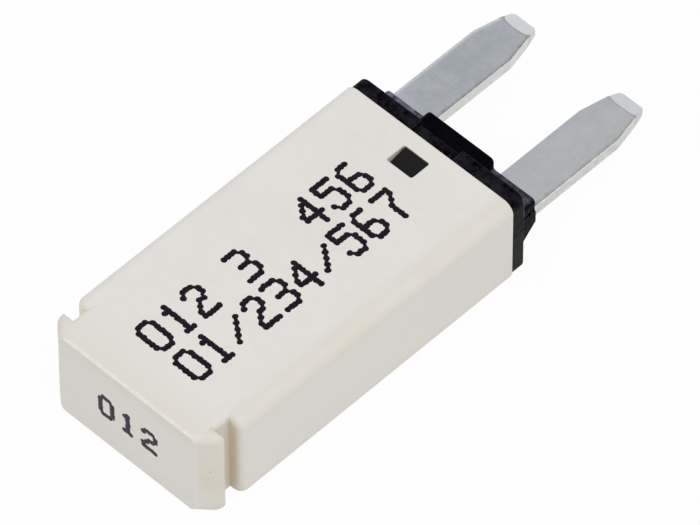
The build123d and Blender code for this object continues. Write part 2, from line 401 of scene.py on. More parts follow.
@dataclass(frozen=True)
class IvoryPlastic:
    """Matte warm white plastic of the cap, yellowing at its ends, with pale edges of wear and painted
    highlight.

    Where light hardly reaches it a painted shade makes it browner, but in the notch on the side
    of lower X a painted bounce light makes it paler and yellower.
    """

    colour: Colour = shade(0.714, 0.694, 0.656)
    yellowing_and_warm_highlight: Colour = shade(0.640, 0.600, 0.500)
    shadow_tint: Colour = shade(0.65, 0.57, 0.41)
    painted_bounce_light: Colour = shade(0.89, 0.865, 0.71)
    wear_and_edge_highlight: Colour = shade(0.86, 0.84, 0.79)
    dust: Colour = shade(0.42, 0.36, 0.28)
    roughness: float = 0.5
    specular: float = 0.4
    grain: Grain = Grain(0.09, 0.10)
    # Uneven tone: the size of its patches, and their share in the lightness and the roughness.
    cloud_mm: float = 5.0
    cloud_share: float = 0.018
    patch_mm: float = 0.8
    patch_share: float = 0.014
    patch_rough: float = 0.04
    # Dust: thin specks all over, and more on the lips.
    specks: Specks = Specks(1.9, 0.045, 0.16)
    speck_share: float = 0.35
    lip_specks: Specks = Specks(0.7, 0.06, 0.22)
    # Hollows, for the painted shade and the painted bounce light: how far the light is felt for,
    # its spread, and the X that parts the two notches.
    pocket_mm: float = 1.5
    pocket: Ramp = (0.35, 0.95, 0.8, 0.0)
    shaded_side: Ramp = (-5.2, -4.2)
    bounce_lit_side: Ramp = (-4.8, -4.2, 1.25, 0.0)
    # Warm tint along X, Y and Z: a painted warm highlight on one long rounded edge, yellowing at
    # the front and the lips, and the upper part.
    edge_mm: float = 5.5
    edge_warm_highlight: Ramp = (-0.7, 0.1, 0.0, 0.55)
    front_mm: float = -17.4
    front_aged: Ramp = (0.0, 2.2, 0.42, 0.0)
    high_tinted: Ramp = (5.2, 6.0, 0.3, 1.0)
    lip_mm: float = -16.2
    lip_near: Ramp = (-0.1, 0.3, 0.75, 0.0)
    lip_aside: Ramp = (-0.5, -0.2)
    patch_in_tint: float = 0.5
    tint_break: Ramp = (-1.2, 1.2, 0.35, 1.35)
    # Pale crisp edges, and the pale bevel whose Y - Z is bevel_mm: part wear, part painted highlight.
    soft_edge_mm: float = 0.06
    edge_wear_and_highlight: float = 0.22
    bevel_mm: float = -23.78
    bevel_near: Ramp = (0.02, 0.07, 1.0, 0.0)
    pale_edge_mm: float = 0.45
    pale_edge_wander_mm: float = 0.03
    pale_edge_break: Ramp = (-1.2, 1.0, 0.05, 0.65)

    def material(self) -> Material:
        """Build the material.

        Returns:
            The material.
        """
        graph = Surface("ivory_plastic", {"Specular IOR Level": self.specular})
        cloud = graph.tone(self.cloud_mm)
        patch = graph.tone(self.patch_mm)
        edges = graph.edges(self.soft_edge_mm * MM)
        tone = graph.plus(graph.times(cloud, self.cloud_share), graph.times(patch, self.patch_share))
        toning = {"Color": self.colour, "Value": graph.plus(tone, 1.0)}
        lip = self.on_lip(graph)
        hollow = self.hollows(graph)
        pale_edges = graph.times(edges["Mask"], self.edge_wear_and_highlight)
        thin = graph.times(self.specks.mask(graph), self.speck_share)
        colour = graph.blend(
            graph.add("HueSaturation", toning).outputs[0],
            # warm tint: yellowing at the front and lips, and a painted warm highlight on the long edge at
            # higher X
            (self.warm_tint_mask(graph, lip, cloud, patch), self.yellowing_and_warm_highlight),
            # painted shade: a browner tint in the hollows towards higher X
            (graph.times(hollow, graph.along("X", self.shaded_side)), self.shadow_tint),
            # painted bounce light: a paler, yellower tint in the hollows of the notch towards lower X
            (graph.times(hollow, graph.along("X", self.bounce_lit_side)), self.painted_bounce_light),
            # pale edges: part wear, part painted highlight on the crisp edges and the front bevel
            (graph.most(pale_edges, self.on_front_edge(graph)), self.wear_and_edge_highlight),
            (graph.most(thin, graph.times(self.lip_specks.mask(graph), lip)), self.dust),
        )
        rough = graph.plus(graph.times(patch, self.patch_rough), self.roughness)
        return graph.clad(colour, rough, self.grain.bump(graph, edges["Normal"]))

    def hollows(self, graph: Surface) -> Socket:
        """Mask of the closed-in places, little lit, where shade and bounce light are painted."""
        felt = graph.add("AmbientOcclusion", {"Distance": self.pocket_mm * MM}, samples=8, only_local=True)
        return graph.ramp(felt.outputs["AO"], self.pocket)

    def on_front_edge(self, graph: Surface) -> Socket:
        """Mask of the bevel where the front face meets the printed face, part wear, part painted
        highlight.

        Both faces lie at a larger Y - Z than the bevel does.

        Args:
            graph: The material's graph.

        Returns:
            The mask's socket, from 0 to 0.65.
        """
        patch = graph.tone(self.pale_edge_mm)
        depth = graph.math("SUBTRACT", graph.place["Y"], graph.place["Z"])
        depth = graph.plus(depth, graph.times(patch, self.pale_edge_wander_mm))
        near = graph.ramp(depth, self.bevel_near, self.bevel_mm)
        return graph.times(near, graph.ramp(patch, self.pale_edge_break))

    def on_lip(self, graph: Surface) -> Socket:
        """Mask of the head's two lips, outside the straight part of its front face."""
        aside = graph.ramp(graph.math("ABSOLUTE", graph.place["X"]), self.lip_aside, self.edge_mm)
        return graph.times(graph.along("Y", self.lip_near, self.lip_mm), aside)

    def warm_tint_mask(self, graph: Surface, lip: Socket, cloud: Socket, patch: Socket) -> Socket:
        """Mask of the warm tint: painted highlight on one long rounded edge, yellowing of lips and front
        edge.

        Args:
            graph: The material's graph.
            lip: Mask of the lips.
            cloud: Uneven tone that breaks the mask up.
            patch: Finer uneven tone.

        Returns:
            The mask's socket, from 0 to about 1.
        """
        high = graph.along("Z", self.high_tinted)
        edge = graph.times(graph.along("X", self.edge_warm_highlight, self.edge_mm), high)
        front = graph.times(graph.along("Y", self.front_aged, self.front_mm), high)
        broken = graph.plus(cloud, graph.times(patch, self.patch_in_tint))
        return graph.times(graph.most(edge, front, lip), graph.ramp(broken, self.tint_break))


@dataclass(frozen=True)
class BlackPlastic:
    """Black filled plastic of the base: gritty, with a painted sheen on its low shelf and paler edges
    of wear and painted highlight.

    shelf_mm is the height of the collar's shelf.  Above block_mm, beyond the flange, stands the
    smooth centre block.  shelf_start_mm is the Y where the flange ends and the collar starts,
    and end_mm the X of the flange's end.  Reaches are counted from these.
    """

    shelf_mm: float
    shelf_start_mm: float
    block_mm: float
    end_mm: float
    smooth: Colour = shade(0.0007, 0.0006, 0.0018)
    gritty: Colour = shade(0.0185, 0.0175, 0.0235)
    shelf: Colour = shade(0.205, 0.222, 0.300)
    enclosed: Colour = shade(0.0150, 0.0145, 0.0165)
    wear_and_edge_highlight: Colour = shade(0.085, 0.083, 0.094)
    dust: Colour = shade(0.095, 0.088, 0.082)
    end: Colour = shade(0.032, 0.029, 0.024)
    painted_corner_highlight: Colour = shade(0.22, 0.22, 0.23)
    roughness: float = 0.42
    specular: float = 0.02
    grain: Grain = Grain(0.07, 0.35)
    soft_edge_mm: float = 0.09
    # Uneven tone: the size of its patches, and their share in the grit and the roughness.
    cloud_mm: float = 1.6
    cloud_share: float = 0.9
    cloud_rough: float = 0.07
    grit_mm: float = 0.36
    grit_spread: Ramp = (-0.9, 1.5)
    edge_paleness_break: Ramp = (-0.6, 0.8, 0.05, 0.9)
    specks: Specks = Specks(0.30, 0.035, 0.35)
    speck_share: float = 0.4
    # The block in Z and Y, what lies inside the cap in Y, and the flange's end in X and Z.
    block_rise: Ramp = (0.0, 0.1, 0.0, 0.9)
    block_reach: Ramp = (0.0, 0.1)
    inner_reach: Ramp = (-1.0, -0.9, 1.0, 0.0)
    end_reach: Ramp = (-0.15, 0.0, 0.0, 0.65)
    end_fall: Ramp = (-1.6, 0.0, 1.0, 0.3)
    # The corner's painted highlight in X, Y and Z, and how it breaks up.
    corner_aside: Ramp = (-0.17, -0.10)
    corner_along: Ramp = (-0.12, -0.06)
    corner_rise: Ramp = (0.2, 0.4)
    corner_break: Ramp = (-0.8, 0.6, 0.3, 1.0)
    # The shelf's painted sheen from below, from above and in Y, how it breaks up, and its fading in X.
    shelf_foot: Ramp = (-0.12, -0.02)
    shelf_top: Ramp = (0.02, 0.08, 1.0, 0.0)
    shelf_reach: Ramp = (0.0, 0.5)
    shelf_break: Ramp = (-1.0, 1.0, 0.1, 1.0)
    shelf_fade: Ramp = (1.0, 3.0, 1.0, 0.38)

    def material(self) -> Material:
        """Build the material.

        Returns:
            The material.
        """
        graph = Surface("black_plastic", {"Specular IOR Level": self.specular})
        cloud = graph.tone(self.cloud_mm)
        grit = graph.tone(self.grit_mm)
        edges = graph.edges(self.soft_edge_mm * MM)
        block = ("Z", self.block_rise, self.block_mm), ("Y", self.block_reach, self.shelf_start_mm)
        off_block = graph.math("SUBTRACT", 1.0, graph.where(*block))
        mixed = graph.plus(grit, graph.times(cloud, self.cloud_share))
        coarse = graph.times(graph.ramp(mixed, self.grit_spread), off_block)
        inside = graph.along("Y", self.inner_reach, self.shelf_start_mm)
        outside = graph.times(off_block, graph.math("SUBTRACT", 1.0, inside))
        colour = graph.blend(
            self.smooth,
            (coarse, self.gritty),
            (inside, self.enclosed),
            # painted sheen: a paler blue-grey on the collar's shelf
            (self.on_shelf(graph, grit), self.shelf),
            # pale edges: part wear, part painted highlight
            (graph.times(edges["Mask"], graph.ramp(grit, self.edge_paleness_break)), self.wear_and_edge_highlight),
            (self.on_end(graph), self.end),
            # painted highlight on the flange's rounded outer corner
            (self.on_corner(graph, grit), self.painted_corner_highlight),
            (graph.times(self.specks.mask(graph), outside, self.speck_share), self.dust),
        )
        rough = graph.plus(graph.times(cloud, self.cloud_rough), self.roughness)
        return graph.clad(colour, rough, self.grain.bump(graph, edges["Normal"]))

    def on_end(self, graph: Surface) -> Socket:
        """Mask of the flange's end, fading downwards."""
        return graph.where(("X", self.end_reach, self.end_mm), ("Z", self.end_fall, self.shelf_mm))

    def on_corner(self, graph: Surface, grit: Socket) -> Socket:
        """Mask of the painted highlight at the top of the flange's outer corner, broken up by the grit."""
        corner = graph.where(
            ("X", self.corner_aside, self.end_mm),
            ("Y", self.corner_along, self.shelf_start_mm),
            ("Z", self.corner_rise, self.shelf_mm),
        )
        return graph.times(corner, graph.ramp(grit, self.corner_break))

    def on_shelf(self, graph: Surface, grit: Socket) -> Socket:
        """Mask of the painted sheen on the collar's broad face, which lies lower than the flange."""
        shelf = graph.where(
            ("Z", self.shelf_foot, self.shelf_mm),
            ("Z", self.shelf_top, self.shelf_mm),
            ("Y", self.shelf_reach, self.shelf_start_mm),
        )
        return graph.times(shelf, graph.ramp(grit, self.shelf_break), graph.along("X", self.shelf_fade))


class Drawn(Enum):
    """Spacing of a metal's rolling or brushing lines along X, Y and Z, in millimetres."""

    ACROSS = (1.3, 0.10, 0.16)
    ALONG = (0.08, 2.4, 0.16)


@dataclass(frozen=True)
class SheetMetal:
    """Satin sheet metal: brushed lines, cloudy plating, torn cut edges and a broken dark edge line."""

    name: str
    colour: Colour
    dull: Colour
    torn: Colour
    dark_edge: Colour
    stain: Colour
    roughness: float
    drawn: Drawn
    # Brushed lines: bump, share in the colour and the roughness, and how they break up.
    line_depth: float = 0.2
    line_height_mm: float = 0.01
    line_share: float = 0.45
    line_rough: float = 0.05
    line_spread: Span = (-0.8, 1.2)
    line_break: Ramp = (-0.8, 0.8, 0.35, 1.2)
    # Uneven tone: the size of its patches, their shares, and what they dull and stain.
    cloud_mm: float = 2.4
    patch_mm: float = 0.35
    patch_share: float = 0.9
    patch_rough: float = 0.05
    fine_mm: float = 0.13
    fine_share: float = 0.9
    dull_spread: Ramp = (-1.8, 1.8, 0.0, 0.8)
    tarnish_mm: float = 0.9
    stain_spread: Ramp = (-0.3, 1.0, 0.0, 0.5)
    # Edges: their rounding, and the dark line on those that turn towards +X.
    rolled_edge_mm: float = 0.16
    dark_edge_turn: Ramp = (0.06, 0.25)
    dark_edge_break: Ramp = (-0.9, 0.9, 0.35, 1.0)
    # Torn band: its upper limit, how ragged that is, and the upright faces that it lies on.
    torn_below_mm: float = 3.5
    torn_wander_mm: float = 0.12
    torn_limit: Ramp = (-0.05, 0.05, 1.0, 0.0)
    torn_break: Ramp = (-1.0, 1.0, 0.6, 1.0)
    upright: Ramp = (0.3, 0.5, 1.0, 0.0)

    def material(self) -> Material:
        """Build the material.

        Returns:
            The material.
        """
        graph = Surface(self.name, {"Metallic": 1.0})
        pitch = dict(zip(("Pitch X", "Pitch Y", "Pitch Z"), self.drawn.value))
        lines = graph.pattern(Brushing, **pitch)["Lines"]
        cloud = graph.tone(self.cloud_mm)
        patch = graph.tone(self.patch_mm)
        fine = graph.tone(self.fine_mm)
        tarnish = graph.tone(self.tarnish_mm)
        edges = graph.edges(self.edge_radius(graph))
        mottle = graph.plus(cloud, graph.times(patch, self.patch_share))
        grainy = graph.plus(mottle, graph.times(fine, self.fine_share))
        drawn = graph.ramp(lines, (*self.line_spread, 0.0, self.line_share))
        turned = graph.ramp(edges["Rightward"], self.dark_edge_turn)
        smudge = graph.times(turned, graph.ramp(mottle, self.dark_edge_break))
        colour = graph.blend(
            self.colour,
            (graph.ramp(grainy, self.dull_spread), self.dull),
            (graph.ramp(tarnish, self.stain_spread), self.stain),
            (graph.times(drawn, graph.ramp(mottle, self.line_break)), self.dull),
            *self.own_marks(graph, patch),
            (self.torn_band(graph, patch), self.torn),
            # a broken dark line on the edges that turn towards +X
            (graph.times(edges["Mask"], smudge), self.dark_edge),
        )
        uneven = graph.plus(graph.times(lines, self.line_rough), graph.times(patch, self.patch_rough))
        bump = {"Height": lines, "Strength": self.line_depth, "Distance": self.line_height_mm * MM}
        bump["Normal"] = edges["Normal"]
        return graph.clad(colour, graph.plus(uneven, self.roughness), bump)

    def edge_radius(self, graph: Surface) -> Any:
        """Rounding of the edges, in metres: the same all round unless a finish says more."""
        return self.rolled_edge_mm * MM

    def own_marks(self, graph: Surface, patch: Socket) -> list[Layer]:
        """Marks that only some sheet has, as layers; plain sheet has none."""
        return []

    def torn_band(self, graph: Surface, patch: Socket) -> Socket:
        """Mask of the rough lower band that punching leaves on the upright cut edges.

        Args:
            graph: The material's graph.
            patch: Uneven tone that makes the band's upper limit ragged.

        Returns:
            The mask's socket, from 0 to 1.
        """
        normal = graph.add("NewGeometry").outputs["True Normal"]
        upward = graph.math("ABSOLUTE", graph.add("SeparateXYZ", {0: normal}).outputs["Z"])
        ragged = graph.plus(graph.place["Z"], graph.times(patch, self.torn_wander_mm))
        low = graph.ramp(ragged, self.torn_limit, self.torn_below_mm)
        uneven = graph.ramp(patch, self.torn_break)
        return graph.times(graph.ramp(upward, self.upright), low, uneven)


@dataclass(frozen=True)
class BladeTin(SheetMetal):
    """Tin on a blade: a rolled long edge with a painted sheen, a smudged long edge, and a coined patch
    at the tip with painted light and shadow.
    """

    # The blade: its centre line in X, its top, and its half width along Y, less at the tip.
    centre_mm: float = 0.0
    top_mm: float = 3.6
    half_width: Ramp = (14.8, 17.5, 1.45, 0.86)
    # The edge of lower X: its rounding, up to this far from the centre line, and a pale band of
    # painted sheen, which ends band_mm from the edge and fades over band_fall.
    outer_edge_mm: float = 0.26
    edge_change_mm: float = 0.5
    band: Colour = shade(0.90, 0.925, 0.985)
    band_mm: float = 0.26
    band_fall: Ramp = (-0.10, 0.0, 0.8, 0.0)
    # The edge of higher X: smudges, their size, how ragged they are and where they fade.
    smudge: Colour = shade(0.36, 0.32, 0.25)
    smudge_mm: float = 0.13
    smudge_share: float = 0.75
    smudge_fine: float = 0.6
    smudge_wander_mm: float = 0.091
    smudge_fall: Ramp = (-0.05, 0.182, 1.0, 0.0)
    smudge_rise: Span = (-0.12, -0.05)
    # The tip: a coined patch on its slope in painted light, the slope around it in painted shadow,
    # with a dark line of painted shade round the patch that bows.
    coined: Colour = shade(0.80, 0.81, 0.82)
    nose_shade: Colour = shade(0.46, 0.47, 0.50)
    nose_line: Colour = shade(0.33, 0.33, 0.35)
    nose_line_share: float = 0.85
    nose_mm: float = 16.56
    nose_bow: float = 0.30
    nose_bow_power: float = 4.0
    nose_slope: Ramp = (-0.04, 0.0)
    nose_start: Ramp = (0.0, 0.08)
    nose_line_width: Ramp = (0.01, 0.07, 1.0, 0.0)
    nose_line_break: Span = (-0.8, 1.0)

    def edge_radius(self, graph: Surface) -> Any:
        """Rounding of the edges, in metres, with its own value on the blade's side of lower X."""
        radii = (self.outer_edge_mm * MM, self.rolled_edge_mm * MM)
        return graph.along("X", (-self.edge_change_mm, 0.0, *radii), self.centre_mm)

    def own_marks(self, graph: Surface, patch: Socket) -> list[Layer]:
        """The painted-sheen band, coined patch with painted light and shade, and smudges on the broad
        faces.

        The distance from a long edge is the half width at that Y, less the distance from the
        centre line.

        Args:
            graph: The material's graph.
            patch: Uneven tone that breaks up the marks.

        Returns:
            The marks' layers.
        """
        across = graph.math("SUBTRACT", graph.place["X"], self.centre_mm)
        half = graph.along("Y", self.half_width)
        pale = graph.ramp(graph.plus(half, across), self.band_fall, self.band_mm)
        fine = graph.tone(self.smudge_mm)
        wander = graph.plus(patch, graph.times(fine, self.smudge_fine))
        from_right = graph.math("SUBTRACT", half, across)
        ragged = graph.plus(from_right, graph.times(wander, self.smudge_wander_mm))
        top = graph.along("Z", (*self.smudge_rise, 0.0, self.smudge_share), self.top_mm)
        smudged = graph.times(graph.ramp(ragged, self.smudge_fall), top)
        # the pale band is a painted sheen on the rolled edge of lower X
        return [(pale, self.band), *self.on_nose(graph, patch), (smudged, self.smudge)]

    def on_nose(self, graph: Surface, patch: Socket) -> list[Layer]:
        """Painted light and shadow of the coined tip: a lit patch on the slope, a dark line round it.

        The patch starts at the slope's foot on the blade's centre line, and further out its
        start bows towards the tip by nose_bow times the distance from that line in mm, to the
        power nose_bow_power.

        Args:
            graph: The material's graph.
            patch: Uneven tone that breaks up the line.

        Returns:
            The layers of the slope's painted shadow, the lit patch and the line of painted shade.
        """
        aside = graph.math("ABSOLUTE", graph.math("SUBTRACT", graph.place["X"], self.centre_mm))
        bow = graph.times(graph.math("POWER", aside, self.nose_bow_power), self.nose_bow)
        beyond = graph.math("SUBTRACT", graph.math("SUBTRACT", graph.place["Y"], self.nose_mm), bow)
        near = graph.ramp(graph.math("ABSOLUTE", beyond), self.nose_line_width)
        broken = graph.ramp(patch, (*self.nose_line_break, 0.0, self.nose_line_share))
        return [
            # painted shadow on the tip's slope, painted light on the coined patch, painted shade along its
            # edge line
            (graph.along("Y", self.nose_slope, self.nose_mm), self.nose_shade),
            (graph.ramp(beyond, self.nose_start), self.coined),
            (graph.times(near, broken), self.nose_line),
        ]


@dataclass(frozen=True)
class MarkingInk:
    """Blue-black ink of the printed dots, thinner and browner in places."""

    name: str
    colour: Colour
    thin: Colour
    roughness: float = 0.4
    specular: float = 0.1
    patch_mm: float = 0.35
    fine_mm: float = 0.06
    fine_share: float = 0.5
    fine_rough: float = 0.08
    thin_spread: Ramp = (-1.2, 1.2)

    def material(self) -> Material:
        """Build the material.

        Returns:
            The material.
        """
        graph = Surface(self.name, {"Specular IOR Level": self.specular})
        patch = graph.tone(self.patch_mm)
        fine = graph.tone(self.fine_mm)
        spread = graph.ramp(graph.plus(patch, graph.times(fine, self.fine_share)), self.thin_spread)
        rough = graph.plus(graph.times(fine, self.fine_rough), self.roughness)
        return graph.clad(graph.blend(self.colour, (spread, self.thin)), rough)


TIN = BladeTin(
    name="tin_plate",
    colour=shade(0.87, 0.91, 0.965),
    dull=shade(0.675, 0.71, 0.75),
    torn=shade(0.60, 0.605, 0.575),
    dark_edge=shade(0.30, 0.27, 0.21),
    stain=shade(0.56, 0.67, 0.80),
    roughness=0.34,
    drawn=Drawn.ACROSS,
    rolled_edge_mm=0.06,
    centre_mm=-4.05,
)
PALE_TIN = replace(
    TIN,
    name="tin_plate_pale",
    colour=shade(0.955, 0.985, 1.0),
    dull=shade(0.765, 0.80, 0.83),
    torn=shade(0.55, 0.55, 0.51),
    stain=shade(0.82, 0.81, 0.84),
    line_share=0.2,
    smudge_share=0.5,
    centre_mm=4.05,
    outer_edge_mm=0.05,
    band=shade(0.82, 0.855, 0.945),
    band_mm=0.50,
    band_fall=(-0.42, 0.0, 0.8, 0.0),
    coined=shade(0.76, 0.775, 0.82),
    nose_bow=0.12,
    nose_line_share=0.3,
)
BIMETAL = SheetMetal(
    name="bimetal_sheet",
    colour=shade(0.58, 0.54, 0.48),
    dull=shade(0.42, 0.38, 0.33),
    torn=shade(0.40, 0.33, 0.26),
    dark_edge=shade(0.25, 0.21, 0.17),
    stain=shade(0.50, 0.42, 0.38),
    roughness=0.30,
    drawn=Drawn.ALONG,
)
SILVER = SheetMetal(
    name="contact_silver",
    colour=shade(0.84, 0.83, 0.80),
    dull=shade(0.56, 0.54, 0.50),
    torn=shade(0.60, 0.58, 0.54),
    dark_edge=shade(0.45, 0.43, 0.40),
    stain=shade(0.66, 0.62, 0.52),
    roughness=0.28,
    drawn=Drawn.ACROSS,
    line_depth=0.1,
)
CAP_INK = MarkingInk("cap_ink", shade(0.0045, 0.0035, 0.0085), shade(0.014, 0.011, 0.019))
HEAD_INK = MarkingInk("head_ink", shade(0.012, 0.011, 0.019), shade(0.040, 0.036, 0.050))


# ---- meshes


def new_piece(name: str, points: np.ndarray, faces: np.ndarray) -> bpy.types.Object:
    """Put a surface into the scene as one mesh object at the origin.

    Args:
        name: The piece's name.
        points: Corner points in metres, one row each.
        faces: Triangles as rows of three point numbers.

    Returns:
        The new object, smooth shaded.
    """
    mesh = bpy.data.meshes.new(name)
    mesh.from_pydata(points.tolist(), [], faces.tolist())
    mesh.polygons.foreach_set("use_smooth", np.ones(len(faces), bool))
    mesh.update()
    piece = bpy.data.objects.new(name, mesh)
    bpy.context.scene.collection.objects.link(piece)
    return piece


def dress(node: str, material: Material) -> None:
    """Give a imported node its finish, in place of the plain one it came with.

    Args:
        node: The node's name.
        material: Its finish.
    """
    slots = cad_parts[node].data.materials
    slots.clear()
    slots.append(material)
    log.info("%s dressed", node)


# Five by seven dots a digit, row by row from the top; a space and a slash fill a cell too.
DOT_GLYPHS = {
    "0": "01110 10001 10001 10001 10001 10001 01110",
    "1": "00100 01100 00100 00100 00100 00100 01110",
    "2": "01110 10001 00001 00110 01000 10000 11111",
    "3": "11110 00001 00001 01110 00001 00001 11110",
    "4": "00010 00110 01010 10010 11111 00010 00010",
    "5": "11111 10000 11110 00001 00001 10001 01110",
    "6": "01110 10000 10000 11110 10001 10001 01110",
    "7": "11111 00001 00010 00100 00100 00100 00100",
    "/": "00000 00001 00010 00100 01000 10000 00000",
    " ": "00000 " * 7,
}


@dataclass(frozen=True)
class DotPrint:
    """Print of one face: its directions, the spacing and size of its dots, and its ink."""

    along: Point
    down: Point
    outward: Point
    cell_mm: float
    column_mm: float
    row_mm: float
    dot_mm: Span
    ink: MarkingInk


@dataclass
class DotMatrixLine:
    """One line of plain dot-matrix digits: a low dome of ink for every dot."""

    name: str
    text: str
    start: Point
    style: DotPrint
    seed: int
    height_mm: float = 0.012
    sunk_mm: float = 0.004
    wander_mm: float = 0.016
    bridge: float = 0.84
    slant_bridge: float = 0.60
    corners: int = 14
    swell: Span = (0.95, 1.05)
    oval: float = 0.04
    lobed: float = 0.03
    inner_reach: float = 0.75
    inner_rise: float = 0.85

    def centres(self) -> np.ndarray:
        """Places of the dots, and of the ink that runs between dots that touch.

        Returns:
            One row for each, its distance along the line and down from its top in mm, and its
            size as a share of a full dot.
        """
        dots = []
        for place, letter in enumerate(self.text):
            grid = np.array([[int(bit) for bit in row] for row in DOT_GLYPHS[letter].split()])
            cells = np.argwhere(grid)
            first, second = np.triu_indices(len(cells), 1)
            step = np.abs(cells[first] - cells[second])
            corner = grid[cells[first, 0], cells[second, 1]] + grid[cells[second, 0], cells[first, 1]]
            straight = step.sum(1) == 1
            touching = (step.max(1, initial=0) == 1) & (straight | (corner == 0))
            between = (cells[first] + cells[second])[touching] / 2
            rows, columns = np.concatenate([cells, between]).T
            joins = np.where(straight[touching], self.bridge, self.slant_bridge)
            size = np.concatenate([np.ones(len(cells)), joins])
            along = place * self.style.cell_mm + columns * self.style.column_mm
            dots.append(np.stack([along, rows * self.style.row_mm, size], 1))
        return np.concatenate(dots)

    def build(self) -> bpy.types.Object:
        """Build the line's mesh, dress it and let it ride with the cap.

        A dot is a closed dome: two rings about its centre, whose reach is its size times
        1 + oval cos(2a + p) + lobed cos(3a - 2p), with the angle a and a random p, so no two
        dots are quite alike.

        Returns:
            The finished piece.
        """
        random = np.random.default_rng(self.seed)
        places = self.centres()
        count = len(places)
        centres = places[:, :2] + random.normal(0.0, self.wander_mm, (count, 2))
        angle = np.arange(self.corners) * 2 * math.pi / self.corners
        phase = random.uniform(0, 2 * math.pi, (count, 1))
        swell = random.uniform(*self.swell, (count, 1)) * places[:, 2:]
        waves = self.oval * np.cos(2 * angle + phase) + self.lobed * np.cos(3 * angle - 2 * phase)
        reach = swell * (1 + waves)
        radii = np.array(self.style.dot_mm) / 2
        ring = np.stack([reach * np.cos(angle), reach * np.sin(angle)], 2) * radii
        middle = centres[:, None, :]
        flat = np.concatenate([middle, middle + self.inner_reach * ring, middle + ring, middle], 1)
        share = np.repeat([1.0, self.inner_rise, 0.0, 0.0], [1, self.corners, self.corners, 1])
        rise = np.where(share > 0, share * self.height_mm, -self.sunk_mm)
        axes = np.array([self.style.along, self.style.down, self.style.outward])
        local = np.concatenate([flat, np.broadcast_to(rise[None, :, None], (count, len(rise), 1))], 2)
        points = np.array(self.start) + (local.reshape(-1, 3) @ axes) * MM
        piece = new_piece(self.name, points, self.faces(count))
        piece.data.materials.append(self.style.ink.material())
        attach(piece, HOUSING)
        return piece

    def faces(self, count: int) -> np.ndarray:
        """Triangles of all the domes.

        Args:
            count: How many domes there are.

        Returns:
            Rows of three point numbers that face outwards.
        """
        n = self.corners
        here = np.arange(n)
        following = (here + 1) % n
        top = np.stack([np.zeros(n, int), 1 + here, 1 + following], 1)
        side_a = np.stack([1 + here, 1 + n + here, 1 + n + following], 1)
        side_b = np.stack([1 + here, 1 + n + following, 1 + following], 1)
        base = np.stack([np.full(n, 1 + 2 * n), 1 + n + following, 1 + n + here], 1)
        dome = np.concatenate([top, side_a, side_b, base])
        if np.linalg.det([self.style.along, self.style.down, self.style.outward]) < 0:
            dome = dome[:, ::-1]
        return (dome[None] + (np.arange(count) * (2 * n + 2))[:, None, None]).reshape(-1, 3)


# ---- sub-assemblies


CAP_PRINT = DotPrint(
    along=(0, 1, 0),
    down=(1, 0, 0),
    outward=(0, 0, 1),
    cell_mm=1.69,
    column_mm=0.265,
    row_mm=0.337,
    dot_mm=(0.42, 0.42),
    ink=CAP_INK,
)
HEAD_PRINT = DotPrint(
    along=(1, 0, 0),
    down=(0, 0, -1),
    outward=(0, -1, 0),
    cell_mm=1.62,
    column_mm=0.225,
    row_mm=0.235,
    dot_mm=(0.43, 0.39),
    ink=HEAD_INK,
)


@dataclass
class Cap:
    """The white cap with its lines of ink dots."""

    first_row_mm: float = -2.33
    second_row_mm: float = 0.50
    rows_start_mm: float = 3.0
    head_left_mm: float = -1.98
    head_top_mm: float = 3.93
    finish: IvoryPlastic = IvoryPlastic()

    def build(self) -> None:
        """Dress the cap and print its broad face and its head."""
        dress("housing_cap", self.finish.material())
        low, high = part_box("housing_cap")
        along = low.y + self.rows_start_mm * MM
        first = (self.first_row_mm * MM, along, high.z)
        second = (self.second_row_mm * MM, along, high.z)
        on_head = (self.head_left_mm * MM, low.y, self.head_top_mm * MM)
        for line in (
            DotMatrixLine("cap_marks_upper", "012 3  456", first, CAP_PRINT, seed=11),
            DotMatrixLine("cap_marks_lower", "01/234/567", second, CAP_PRINT, seed=12),
            DotMatrixLine("head_marks", "012", on_head, HEAD_PRINT, seed=13),
        ):
            log.info("%s: %d dots", line.build().name, len(line.centres()))


@dataclass
class Base:
    """The black base that closes the cap and carries the blades."""

    shelf_mm: float = 4.3
    shelf_start_mm: float = 6.75
    block_mm: float = 4.5
    end_mm: float = 6.15

    def build(self) -> None:
        """Dress the base."""
        finish = BlackPlastic(self.shelf_mm, self.shelf_start_mm, self.block_mm, self.end_mm)
        dress("base_plug", finish.material())


@dataclass
class Terminals:
    """The two tin-plated blades, the right one in a paler copy of the finish."""

    left: SheetMetal = TIN
    right: SheetMetal = PALE_TIN

    def build(self) -> None:
        """Dress each terminal with its plating."""
        dress("terminal_left", self.left.material())
        dress("terminal_right", self.right.material())


@dataclass
class SnapSwitch:
    """The sealed bimetal strip and its two contacts."""

    strip: SheetMetal = BIMETAL
    button: SheetMetal = SILVER

    def build(self) -> None:
        """Dress the strip and both buttons."""
        dress("bimetal_strip", self.strip.material())
        silver = self.button.material()
        dress("moving_contact", silver)
        dress("fixed_contact", silver)


# ---- stage


def hang(data: Any, azimuth: float, elevation: float, distance: float, aim: Vector) -> None:
    """Hang a light or a camera so that it looks straight at a point.

    Args:
        data: The light or the camera; the object takes its name.
        azimuth: Degrees from -Y towards +X.
        elevation: Degrees up from the floor.
        distance: Metres from the point.
        aim: The point.
    """
    a, e = math.radians(azimuth), math.radians(elevation)
    towards = Vector((math.sin(a) * math.cos(e), -math.cos(a) * math.cos(e), math.sin(e)))
    piece = bpy.data.objects.new(data.name, data)
    piece.location = aim + towards * distance
    piece.rotation_euler = towards.to_track_quat("Z", "Y").to_euler()
    bpy.context.scene.collection.objects.link(piece)


@dataclass
class Lamp:
    """A square soft light that looks at the part's origin, in degrees, metres and watts."""

    name: str
    azimuth: float
    elevation: float
    distance: float
    size: float
    power: float

    def build(self) -> None:
        """Hang the light."""
        light = bpy.data.lights.new(self.name, "AREA")
        light.shape = "SQUARE"
        light.size = self.size
        light.energy = self.power
        hang(light, self.azimuth, self.elevation, self.distance, Vector())


